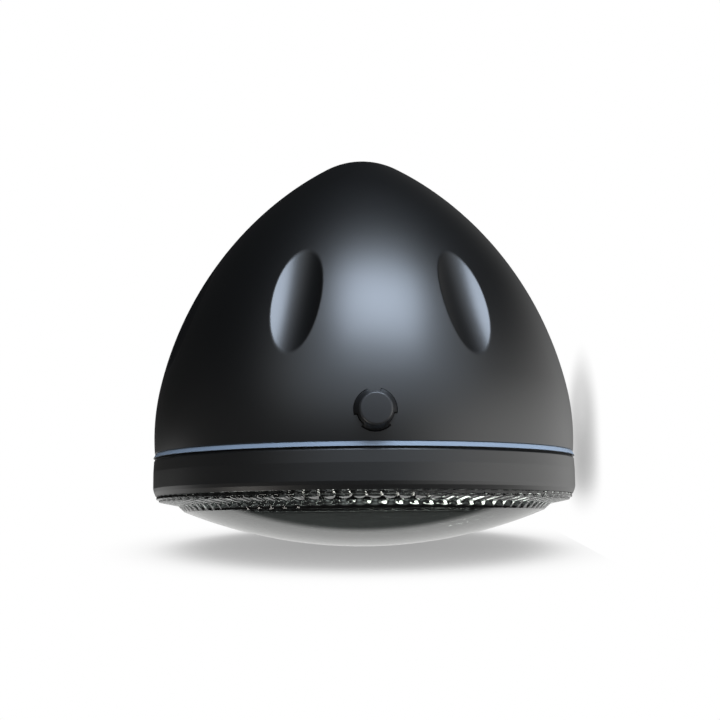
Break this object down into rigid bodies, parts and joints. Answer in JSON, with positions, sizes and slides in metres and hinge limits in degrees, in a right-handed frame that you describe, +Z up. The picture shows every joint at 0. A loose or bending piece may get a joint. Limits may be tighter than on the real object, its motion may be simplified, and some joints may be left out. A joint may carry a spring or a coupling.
{
  "type": "motorcycle headlight",
  "caption": "Round motorcycle headlight with a black dimpled bullet shell, keyed side mounts and a clear domed lens with a fluted rim.",
  "frame": {"origin": "where the line through the two side bolts crosses the beam axis", "axes": "+Z up on the vehicle, the beam points along -Y, +X is the lamp's side that the picture shows"},
  "size_m": [0.213, 0.1873, 0.2],
  "materials": {
    "shell_paint": "satin black paint",
    "ring_paint": "satin black paint",
    "seal_rubber": "matt",
    "screw_steel": "zinc plated",
    "lens_clear": "clear",
    "reflector_metal": "bright metallised",
    "spring_steel": "plain",
    "seat_steel": "zinc plated",
    "cap_metal": "plain",
    "bulb_glass": "clear",
    "shield_metal": "plain",
    "filament_wire": "plain",
    "terminal_brass": "plain",
    "boot_rubber": "matt",
    "bush_black": "satin black",
    "bolt_black": "satin black"
  },
  "bodies": {
    "root": {"housing": "shell_paint", "trim_ring": "ring_paint", "rim_gasket": "seal_rubber", "ring_screw": "screw_steel", "ring_nut": "screw_steel", "lens": "lens_clear", "lens_seal": "seal_rubber", "reflector": "reflector_metal", "lamp_clips": "spring_steel", "bulb_seat": "seat_steel", "bulb_clip": "spring_steel", "bulb_clip_screw": "screw_steel", "bulb_base": "cap_metal", "bulb_glass": "bulb_glass", "bulb_shield": "shield_metal", "bulb_filaments": "filament_wire", "bulb_terminals": "terminal_brass", "bulb_boot": "boot_rubber", "side_bush_right": "bush_black", "side_bush_left": "bush_black", "side_bolt_right": "bolt_black", "side_bolt_left": "bolt_black", "side_washer_right": "screw_steel", "side_washer_left": "screw_steel", "side_nut_right": "screw_steel", "side_nut_left": "screw_steel", "cable_grommet": "boot_rubber"}
  },
  "joints": []
}
